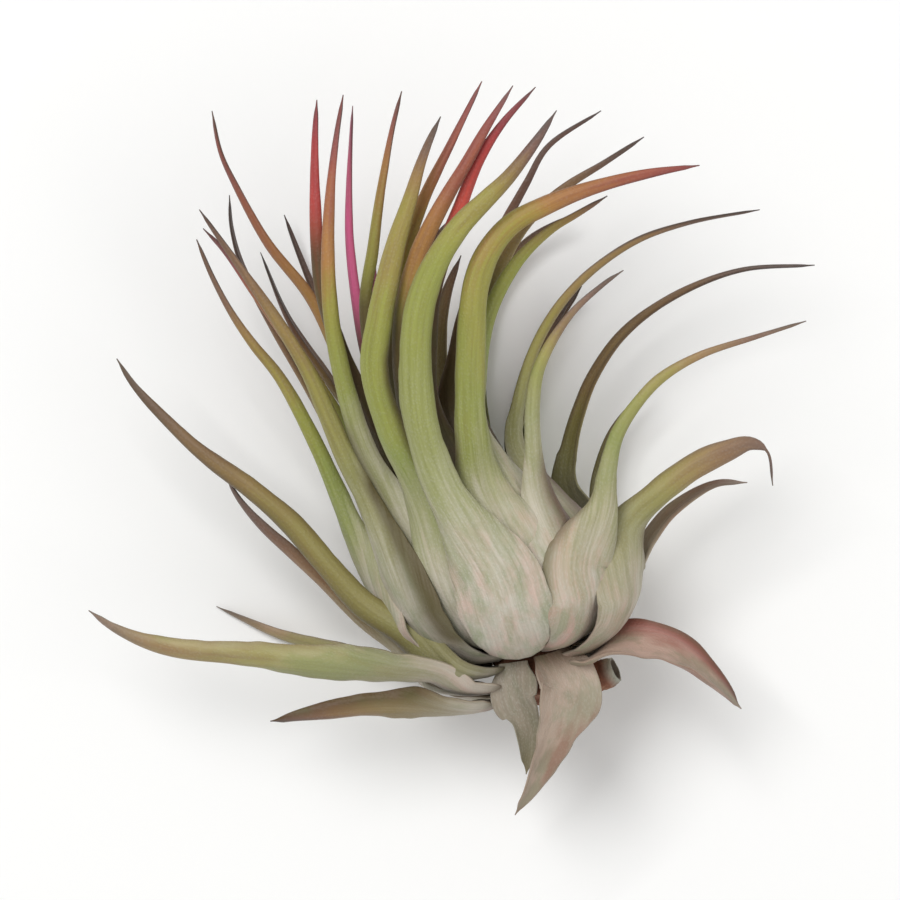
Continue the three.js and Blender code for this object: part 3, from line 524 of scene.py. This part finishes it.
def grid_faces(rings, around):
    """Faces between closed rings of points, and a strip across the first and the last ring."""
    faces = []
    for ring in range(rings - 1):
        for corner in range(around):
            here = ring * around + corner
            beside = ring * around + (corner + 1) % around
            faces.append((here, here + around, beside + around, beside))
    last = (rings - 1) * around
    for corner in range(around // 2 - 1):
        far = around - 1 - corner
        faces.append((corner, corner + 1, far - 1, far))
        faces.append((last + corner, last + far, last + far - 1, last + corner + 1))
    return faces


def ripple(places, draw, waves=3):
    """A smooth random value along a leaf, about -1 to 1."""
    total = np.zeros(len(places))
    for number in range(1, waves + 1):
        total += np.sin(places * draw.uniform(0.5, 1.5) * number + draw.uniform(0, 2 * math.pi)) / number
    return total / RIPPLE_SPAN


def add_values(mesh, values):
    """Keeps a number for each point of a mesh, by name, for its material."""
    for name, data in values.items():
        attribute = mesh.attributes.new(name, "FLOAT", "POINT")
        attribute.data.foreach_set("value", data.astype(np.float32))


def painted_shade_of(leaf, run, distance, side, murk_run):
    """How much painted shade a leaf has at each place along and across it: an even share over the whole
    leaf, a lower part that its neighbours shade, one margin, and the root of an old leaf."""
    dark = np.full((len(run), len(side)), leaf.get("dim", 0.0))
    if "murk" in leaf:
        dark += (1 - smooth((run - murk_run) / PAINTED_SHADE_FADE + 0.5))[:, None]
    if "rim" in leaf:
        strength, start, end, share = leaf["rim"]
        margin = smooth((np.sign(strength) * side - 1 + share) / share)
        reach = smooth((distance - start) / MARGIN_SHADE_FADE) * smooth((end - distance) / MARGIN_SHADE_FADE)
        dark += np.outer(reach, margin * abs(strength))
    if is_old(leaf):
        root = leaf.get("root_dark", ROOT_SHADE)
        dark += root * (1 - smooth(distance / ROOT_SHADE_LENGTH))[:, None]
    return np.minimum(dark, 1)


def stations_of(leaf, curve):
    """How far along a leaf its stations are, from 0 to 1, and at each its place, its direction and the
    side that faces the stem. They lie closer together at the root."""
    frames = leaf_frames(leaf, curve)
    run = np.linspace(0, 1, STATIONS) ** STATION_POWER
    steps = run * FRAME_STEPS
    index = np.arange(FRAME_STEPS + 1)
    place, direction, inner = (
        np.stack([np.interp(steps, index, values[:, k]) for k in range(3)], axis=1) for values in frames)
    direction /= np.linalg.norm(direction, axis=1)[:, None]
    inner -= direction * (inner * direction).sum(axis=1)[:, None]
    inner /= np.linalg.norm(inner, axis=1)[:, None]
    return run, place, direction, inner


def half_width(leaf, distance, length, blade_from, radius, point):
    """Half the width of a leaf: the sheath narrows to the blade, and the blade to a thread."""
    sheath_length = min(SHEATH_LENGTH, SHEATH_SHARE * blade_from)
    sheath_share = smooth((distance - sheath_length) / (blade_from - sheath_length))
    lower = 0.5 * mix(leaf["sheath"], leaf["blade"], sheath_share)
    lower = np.minimum(lower, leaf.get("clasp", SHEATH_HALF_ANGLE) * radius)
    if is_old(leaf):
        lower = lower * mix(ROOT_SHARE, 1, smooth(distance / ROOT_LENGTH))
    blade_run = np.clip((distance - blade_from) / (length - blade_from), 0, 1)
    taper = 1 - np.minimum(blade_run / leaf.get("thread", 1), 1) ** leaf.get("taper", TAPER_POWER)
    upper = 0.5 * (TIP_WIDTH + (leaf["blade"] - TIP_WIDTH) * taper)
    return np.where(distance < blade_from, lower, upper * point)


def turn_of(leaf, distance, blade_from, ripples):
    """How far a leaf's section is turned about its direction, in radians."""
    turn_from = 0 if is_old(leaf) else TURN_SHARE * blade_from
    turn = smooth((distance - turn_from) / (blade_from - turn_from)) * math.radians(leaf.get("turn", 0))
    return turn + TWIST_SWAY * ripples * smooth(distance / TWIST_LENGTH)


def leaf_rings(leaf, distance, length, stations, draw):
    """The points round a leaf at each station, outer face first, and where each is across the leaf."""
    run, place, direction, inner = stations
    radius = distance_to_axis(place)
    blade_from = min(leaf.get("blade_from", BLADE_FROM), BLADE_SHARE * length)
    unevenness = 1.0 if is_old(leaf) else YOUNG_UNEVENNESS
    point = mix(POINT_SHARE, 1, smooth((length - distance) / POINT_LENGTH))
    half = half_width(leaf, distance, length, blade_from, radius, point)
    half = half * (1 + WIDTH_SWAY * ripple(distance * WIDTH_PACE, draw))
    half_left = half * (1 + EDGE_SWAY * unevenness * ripple(distance * EDGE_PACE, draw))
    half_right = half * (1 + EDGE_SWAY * unevenness * ripple(distance * EDGE_PACE, draw))

    # The section is round the bulb at first, then a channel that flattens at the tip
    blade_angle = FLAT_HALF_ANGLE + CHANNEL_HALF_ANGLE * smooth((half * 2 - TIP_WIDTH) / CURLED_WIDTH)
    half_angle = mix(half / radius, blade_angle, smooth(distance / blade_from - ROUND_SHARE))
    curl = half / half_angle
    turn = turn_of(leaf, distance, blade_from, unevenness * ripple(distance * TWIST_PACE, draw, 2))
    across = turned(np.cross(direction, inner), direction, turn)
    inner = turned(inner, direction, turn)

    thick = mix(THICKNESS, TIP_THICKNESS, smooth((run - TIP_THIN_FROM) / (1 - TIP_THIN_FROM))) * point
    margin = np.minimum(MARGIN_THICKNESS, MARGIN_SHARE * thick)
    sway = LIFT_SWAY * unevenness * ripple(distance * LIFT_PACE, draw)
    ridges = draw.uniform(0, 2 * math.pi) + RIDGE_SHIFT * ripple(distance, draw, 1)
    wide = smooth((half - WIDE_FROM) / WIDE_OVER)
    outer_face = []
    inner_face = []
    widths = []
    for side in ARC_SIDES:
        half_here = half_left if side < 0 else half_right
        angle = side * half_angle * half_here / half
        thickness = mix(thick, margin, abs(side) ** MARGIN_POWER)
        middle = place + inner * (curl * (1 - np.cos(angle)))[:, None]
        middle = middle + across * (curl * np.sin(angle))[:, None]
        ridge = RIDGE_HEIGHT * np.sin(side * half * RIDGE_PACE + ridges)
        lift = (sway * side * abs(side) + ridge) * wide
        normal = inner * np.cos(angle)[:, None] - across * np.sin(angle)[:, None]
        middle = middle + normal * lift[:, None]
        outer_face.append(middle - normal * (0.5 * thickness)[:, None])
        inner_face.append(middle + normal * (0.5 * thickness)[:, None])
        widths.append(side * half)
    return np.stack(outer_face + inner_face[::-1], axis=1), np.stack(widths + widths[::-1], axis=1)


def dryness(leaf, sides):
    """How dry a leaf is at each place across it, with one side of it fresher."""
    fresh = leaf.get("fresh", 0)
    fresh_share = smooth((np.sign(fresh) * sides - FRESH_FROM) / FRESH_OVER)
    return leaf.get("dry", 0) * (1 - abs(fresh) * fresh_share)


def leaf_mesh(leaf, number):
    draw = np.random.default_rng(LEAF_SEED + number)
    curve, length, green_run, warm_run, murk_run = leaf_curve(leaf)
    stations = stations_of(leaf, curve)
    run = stations[0]
    distance = run * length
    rings, widths = leaf_rings(leaf, distance, length, stations, draw)
    around = 2 * ARC_POINTS
    vertices = (rings + PLANT_SHIFT).reshape(-1, 3)
    vertices[:, 2] = np.maximum(vertices[:, 2], 0.0)
    mesh = bpy.data.meshes.new(leaf["name"])
    mesh.from_pydata((vertices * MM).tolist(), [], grid_faces(STATIONS, around))
    mesh.polygons.foreach_set("use_smooth", [True] * len(mesh.polygons))

    # What the material reads: colour stage, place across the leaf, the inner face with its share of deeper
    # colour and painted shade, the painted shade, dryness and blush
    faces_in = np.tile(np.concatenate((np.zeros(ARC_POINTS), np.ones(ARC_POINTS))), STATIONS)
    stage = np.interp(run, (0, green_run, warm_run, 1), (0, GREEN_STAGE, WARM_STAGE, 1))
    sides = np.concatenate((ARC_SIDES, ARC_SIDES[::-1]))
    add_values(mesh, {
        "stage": np.repeat(stage, around) + draw.uniform(-STAGE_DRAW, STAGE_DRAW),
        "side": np.tile(sides, STATIONS),
        "inner": faces_in * leaf.get("shade", INNER_SHADE),
        "dark": painted_shade_of(leaf, run, distance, sides, murk_run).reshape(-1),
        "dry": np.tile(dryness(leaf, sides), STATIONS),
        "blush": np.full(STATIONS * around, leaf.get("blush", BLUSH)),
    })
    apart = faces_in * FACE_APART + number * LEAF_APART
    vectors = np.stack((widths.reshape(-1), np.repeat(distance, around), apart), axis=1)
    attribute = mesh.attributes.new("grain", "FLOAT_VECTOR", "POINT")
    attribute.data.foreach_set("vector", vectors.astype(np.float32).reshape(-1))
    mesh.update()
    return mesh


def round_tube(places, radii, sides, draw):
    """A closed round body along places, with a rough, ringed surface; its rings of points."""
    places = spaced(catmull_rom(places), len(radii))
    directions = np.gradient(places, axis=0)
    rings = []
    angles = 2 * math.pi * np.arange(sides) / sides
    for number, (place, direction, radius) in enumerate(zip(places, directions, radii)):
        direction = unit(direction)
        front = unit(np.array((0, 0, 1)) - direction * direction[2])
        left = np.cross(front, direction)
        waves = BARK_WAVE_SHARE * np.sin(angles * BARK_WAVES + number * BARK_WAVE_SHIFT)
        rough = radius * (1 + waves + BARK_ROUGH_SHARE * draw.standard_normal(sides))
        ring = place + np.outer(np.cos(angles) * rough, front) + np.outer(np.sin(angles) * rough, left)
        rings.append(ring)
    return np.array(rings)


def hollow_end(rings, depth, shares):
    """The rings with a hollow sunk into their last one: its rim and floor are shares of the ring."""
    last = rings[-1]
    middle = last.mean(axis=0)
    back = unit(rings[-4].mean(axis=0) - middle)
    sunk = [middle + (last - middle) * share + back * depth * step / (len(shares) - 1)
            for step, share in enumerate(shares)]
    return np.concatenate((rings, sunk))


def main_stem(draw):
    heights, radii = zip(*STEM_STATIONS)
    wanted = np.linspace(heights[0], heights[-1], STEM_RINGS)
    stem_radii = np.interp(wanted, heights, radii) * (1 + STEM_RING_SHARE * np.sin(wanted * STEM_RING_PACE))
    stem_radii = stem_radii * np.minimum(1, STEM_END_SHARE + np.arange(STEM_RINGS) / STEM_END_RINGS)
    return round_tube([axis_at(height)[0] for height in heights], stem_radii, STEM_SIDES, draw)


def stub(draw):
    places, radii = zip(*STUB_STATIONS)
    spots = np.linspace(0, 1, STUB_RINGS)
    stub_radii = np.interp(spots * (len(places) - 1), range(len(places)), radii)
    stub_radii = stub_radii * (1 + STUB_RING_SHARE * np.sin(spots * STUB_RING_PACE))
    return hollow_end(round_tube(places, stub_radii, STUB_SIDES, draw), HOLLOW_DEPTH, HOLLOW_SHARES)


def stem_mesh():
    draw = np.random.default_rng(STEM_SEED)
    vertices = []
    faces = []
    hollow = []
    worn = []
    for rings, sunk, wear in ((main_stem(draw), 0, 0.0), (stub(draw), len(HOLLOW_SHARES), 1.0)):
        first = len(vertices)
        around = rings.shape[1]
        vertices += (rings.reshape(-1, 3) + PLANT_SHIFT).tolist()
        faces += [tuple(first + corner for corner in face) for face in grid_faces(len(rings), around)]
        hollow += [0.0] * (len(rings) - sunk) * around
        hollow += [1.0] * sunk * around
        worn += np.repeat(wear * smooth(np.linspace(*STUB_WEAR, len(rings))), around).tolist()
    mesh = bpy.data.meshes.new("stem_bark")
    mesh.from_pydata((np.array(vertices) * MM).tolist(), [], faces)
    mesh.polygons.foreach_set("use_smooth", [True] * len(mesh.polygons))
    add_values(mesh, {"hollow": np.array(hollow), "worn": np.array(worn)})
    mesh.update()
    return mesh


# Materials

def colour(red, green, blue):
    """A colour for a shader, from the values that a screen shows."""
    return tuple((value / 255) ** 2.2 for value in (red, green, blue)) + (1,)


class Shading:
    """A material's node tree, with short calls to add and join nodes."""

    def __init__(self, name):
        self.material = bpy.data.materials.new(name)
        self.material.use_nodes = True
        self.nodes = self.material.node_tree.nodes
        self.links = self.material.node_tree.links
        self.shader = self.nodes["Principled BSDF"]

    def put(self, socket, value):
        if isinstance(value, bpy.types.NodeSocket):
            self.links.new(value, socket)
        else:
            socket.default_value = value

    def attribute(self, name, output="Fac"):
        node = self.nodes.new("ShaderNodeAttribute")
        node.attribute_name = name
        return node.outputs[output]

    def math(self, operation, a, b=0.0, clamp=False):
        node = self.nodes.new("ShaderNodeMath")
        node.operation = operation
        node.use_clamp = clamp
        self.put(node.inputs[0], a)
        self.put(node.inputs[1], b)
        return node.outputs[0]

    def scaled(self, vector, scale):
        node = self.nodes.new("ShaderNodeVectorMath")
        node.operation = "MULTIPLY"
        self.put(node.inputs[0], vector)
        node.inputs[1].default_value = scale
        return node.outputs[0]

    def noise(self, vector, scale, detail=3.0, roughness=0.5):
        node = self.nodes.new("ShaderNodeTexNoise")
        self.put(node.inputs["Vector"], self.scaled(vector, scale))
        node.inputs["Scale"].default_value = 1.0
        node.inputs["Detail"].default_value = detail
        node.inputs["Roughness"].default_value = roughness
        return node.outputs["Fac"]

    def cells(self, vector, scale):
        node = self.nodes.new("ShaderNodeTexVoronoi")
        self.put(node.inputs["Vector"], self.scaled(vector, scale))
        node.inputs["Scale"].default_value = 1.0
        return node.outputs["Distance"]

    def range(self, value, low, high, to_low=0.0, to_high=1.0):
        node = self.nodes.new("ShaderNodeMapRange")
        self.put(node.inputs["Value"], value)
        node.inputs["From Min"].default_value = low
        node.inputs["From Max"].default_value = high
        node.inputs["To Min"].default_value = to_low
        node.inputs["To Max"].default_value = to_high
        return node.outputs["Result"]

    def ramp(self, value, stops):
        node = self.nodes.new("ShaderNodeValToRGB")
        self.put(node.inputs["Fac"], value)
        elements = node.color_ramp.elements
        while len(elements) < len(stops):
            elements.new(0.5)
        for element, (position, shade) in zip(elements, stops):
            element.position = position
            element.color = colour(*shade)
        return node.outputs["Color"]

    def blend(self, share, a, b, mode="MIX"):
        node = self.nodes.new("ShaderNodeMix")
        node.data_type = "RGBA"
        node.blend_type = mode
        self.put(node.inputs["Factor"], share)
        self.put(node.inputs[6], a)
        self.put(node.inputs[7], b)
        return node.outputs[2]

    def bump(self, height, strength, distance):
        node = self.nodes.new("ShaderNodeBump")
        node.inputs["Strength"].default_value = strength
        node.inputs["Distance"].default_value = distance
        self.put(node.inputs["Height"], height)
        return node.outputs["Normal"]


SHEATH_BEIGE = colour(192, 184, 168)
SHEATH_PINK = colour(206, 162, 148)
SHEATH_GREEN = colour(142, 148, 112)
SCALE_SILVER = colour(206, 206, 196)
DRY_LEAF = colour(184, 162, 146)
DRY_GREY = colour(150, 144, 122)
DRY_BROWN = colour(146, 108, 92)
# Colours of the painted shade: a dark olive and a red-brown
PAINTED_SHADE = colour(82, 74, 42)
PAINTED_SHADE_RED = colour(92, 62, 48)
STREAK = colour(126, 118, 66)
# The inner face's deeper colour, which also carries painted shade, and painted shade at the blade's edges
INNER_FACE_SHADE = colour(122, 98, 62)
BLADE_EDGE_SHADE = colour(140, 112, 80)

# Colours of each kind of leaf by its colour stage, and how silvery its scales make it
LEAF_LOOKS = {
    "silver_green_leaf": (0.65, [
        (0.22, (160, 160, 120)), (0.32, (144, 148, 82)), (0.44, (142, 147, 64)), (0.54, (150, 145, 60)),
        (0.62, (148, 130, 58)), (0.7, (132, 104, 60)), (0.8, (116, 80, 66)), (0.92, (92, 66, 60)),
        (1.0, (82, 66, 62))]),
    "green_leaf": (0.55, [
        (0.22, (160, 158, 116)), (0.34, (134, 144, 66)), (0.5, (146, 147, 60)), (0.6, (152, 136, 62)),
        (0.7, (150, 118, 66)), (0.84, (126, 92, 68)), (1.0, (86, 68, 62))]),
    "olive_leaf": (0.5, [
        (0.22, (158, 154, 118)), (0.34, (140, 138, 78)), (0.5, (144, 134, 64)), (0.62, (146, 120, 66)),
        (0.76, (132, 100, 66)), (0.88, (110, 82, 66)), (1.0, (80, 62, 58))]),
    "orange_leaf": (0.45, [
        (0.22, (160, 158, 116)), (0.34, (138, 144, 66)), (0.5, (150, 142, 60)), (0.62, (168, 120, 60)),
        (0.72, (160, 104, 60)), (0.82, (152, 80, 60)), (0.91, (136, 66, 62)), (1.0, (100, 62, 60))]),
    "red_leaf": (0.35, [
        (0.2, (160, 150, 116)), (0.32, (150, 138, 86)), (0.42, (152, 120, 70)), (0.5, (176, 104, 62)),
        (0.6, (192, 72, 58)), (0.8, (178, 60, 58)), (0.92, (142, 54, 60)), (1.0, (96, 60, 60))]),
    "pink_leaf": (0.35, [
        (0.2, (150, 138, 104)), (0.35, (148, 110, 94)), (0.45, (180, 104, 122)), (0.55, (220, 106, 152)),
        (0.75, (212, 92, 138)), (0.88, (190, 88, 118)), (1.0, (134, 84, 98))]),
    "brown_leaf": (0.45, [
        (0.2, (162, 152, 126)), (0.32, (146, 134, 96)), (0.42, (138, 118, 72)), (0.55, (136, 102, 62)),
        (0.68, (120, 84, 60)), (0.82, (100, 70, 58)), (1.0, (72, 58, 56))]),
}


def leaf_material(slot, silver, stops):
    s = Shading(slot)
    grain = s.attribute("grain", "Vector")
    stage = s.attribute("stage")
    margin = s.math("POWER", s.math("ABSOLUTE", s.attribute("side")), 6.0)
    inner = s.attribute("inner")
    blush = s.attribute("blush")

    # Lengthwise streaks and broad blotches move the colour stage to and fro
    broad = s.noise(grain, (0.42, 0.12, 1.0), 3.0)
    streaks = s.noise(grain, (3.0, 0.09, 1.0), 4.0, 0.6)
    fine = s.noise(grain, (9.0, 0.7, 1.0), 2.0)
    moved = s.math("ADD", stage, s.range(broad, 0.25, 0.75, -0.07, 0.07))
    moved = s.math("ADD", moved, s.range(streaks, 0.3, 0.7, -0.03, 0.03))
    base = s.ramp(moved, stops)

    # The sheath is beige, with pinkish and greenish patches
    patches = s.noise(grain, (0.34, 0.2, 1.0), 4.0, 0.6)
    lines = s.noise(grain, (0.6, 0.2, 1.0), 4.0, 0.6)
    pinkness = s.math("MULTIPLY", s.range(patches, 0.42, 0.58), blush)
    sheath = s.blend(pinkness, SHEATH_BEIGE, SHEATH_PINK)
    sheath = s.blend(s.range(lines, 0.44, 0.64, 0.0, 0.85), sheath, SHEATH_GREEN)
    base = s.blend(s.range(moved, 0.12, 0.26), sheath, base)
    base = s.blend(s.range(streaks, 0.4, 0.75, 0.0, 0.35), base, STREAK, "MULTIPLY")

    # The inner face is deeper and plainer than the outer one, and its darkening also paints the shade
    # between the leaves; painted shade darkens the blade's edges
    base = s.blend(inner, base, INNER_FACE_SHADE, "MULTIPLY")
    edge = s.math("MULTIPLY", margin, s.range(moved, 0.15, 0.4, 0.15, 0.6))
    base = s.blend(edge, base, BLADE_EDGE_SHADE, "MULTIPLY")

    # A dry leaf is pale, with grey-green and brown patches
    pale = s.blend(s.range(patches, 0.46, 0.58, 0.0, 0.9), DRY_LEAF, DRY_GREY)
    pale = s.blend(s.range(broad, 0.5, 0.66, 0.0, 0.8), pale, DRY_BROWN)
    base = s.blend(s.attribute("dry"), base, pale)

    # Silvery scales: closest on the sheath
    scales = s.cells(grain, (5.0, 3.2, 1.0))
    dots = s.range(scales, 0.15, 0.55, 1.0, 0.0)
    amount = s.range(moved, 0.15, 0.42, 0.34, 0.1)
    amount = s.math("MULTIPLY", amount, s.range(broad, 0.3, 0.7, 0.6, 1.4))
    amount = s.math("MULTIPLY", amount, s.range(dots, 0.0, 1.0, 0.6, 1.4))
    amount = s.math("MULTIPLY", amount, silver, clamp=True)
    base = s.blend(amount, base, SCALE_SILVER)
    # Painted shade over lower parts, margins, old roots and whole leaves, mixed to a dark olive or, with
    # blush, red-brown
    painted_shade_share = s.math("MULTIPLY", s.attribute("dark"), s.range(streaks, 0.3, 0.7, 1.0, 0.8), clamp=True)
    redness = s.math("MULTIPLY", s.range(patches, 0.35, 0.55), blush)
    base = s.blend(painted_shade_share, base, s.blend(redness, PAINTED_SHADE, PAINTED_SHADE_RED))
    s.put(s.shader.inputs["Base Color"], base)
    s.put(s.shader.inputs["Roughness"], s.range(amount, 0.0, 0.6, 0.5, 0.8))
    s.shader.inputs["Specular IOR Level"].default_value = 0.35
    s.shader.inputs["Sheen Weight"].default_value = 0.08
    s.shader.inputs["Sheen Roughness"].default_value = 0.5

    height = s.math("ADD", s.math("MULTIPLY", streaks, 0.6), s.math("MULTIPLY", fine, 0.3))
    height = s.math("ADD", height, s.math("MULTIPLY", dots, 0.35))
    s.put(s.shader.inputs["Normal"], s.bump(height, 0.5, 0.00012))
    return s.material


def bark_material():
    s = Shading("grey_stem")
    place = s.nodes.new("ShaderNodeTexCoord").outputs["Object"]
    fibres = s.noise(place, (900, 260, 900), 5.0, 0.65)
    patches = s.noise(place, (260, 260, 260), 3.0)
    base = s.ramp(fibres, [(0.25, (74, 46, 34)), (0.5, (116, 74, 54)), (0.75, (158, 122, 96))])
    base = s.blend(s.range(patches, 0.4, 0.7, 0.0, 0.6), base, colour(124, 70, 50))
    worn = s.ramp(fibres, [(0.25, (128, 126, 112)), (0.5, (162, 164, 150)), (0.75, (192, 192, 178))])
    base = s.blend(s.attribute("worn"), base, worn)
    # Painted shade inside the sunk hollow at the stub's end
    base = s.blend(s.math("MULTIPLY", s.attribute("hollow"), 0.85), base, colour(62, 44, 30))
    s.put(s.shader.inputs["Base Color"], base)
    s.shader.inputs["Roughness"].default_value = 0.85
    s.put(s.shader.inputs["Normal"], s.bump(fibres, 0.7, 0.0003))
    return s.material


def add_piece(name, mesh, node, material):
    piece = bpy.data.objects.new(name, mesh)
    bpy.context.scene.collection.objects.link(piece)
    mesh.materials.append(material)
    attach(piece, "root")
    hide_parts(node)


make_camera()
make_world()
make_light("key_light", (-0.3, 0.35, 0.9), 0.5, 6.4)
make_light("fill_light", (0.6, -0.2, 0.6), 0.6, 1.6)
make_floor()

slots = {part["node"]: part["material_slot"] for part in frame["record"]["subparts"]}
materials = {slot: leaf_material(slot, silver, stops) for slot, (silver, stops) in LEAF_LOOKS.items()}
for leaf_number, leaf_row in enumerate(LEAVES):
    node_name = leaf_row["name"]
    fine_leaf = leaf_mesh(leaf_row, leaf_number)
    leaf_slot = slots[node_name]
    add_piece("fine_" + node_name, fine_leaf, node_name, materials[leaf_slot])
add_piece("stem_bark", stem_mesh(), "stem", bark_material())
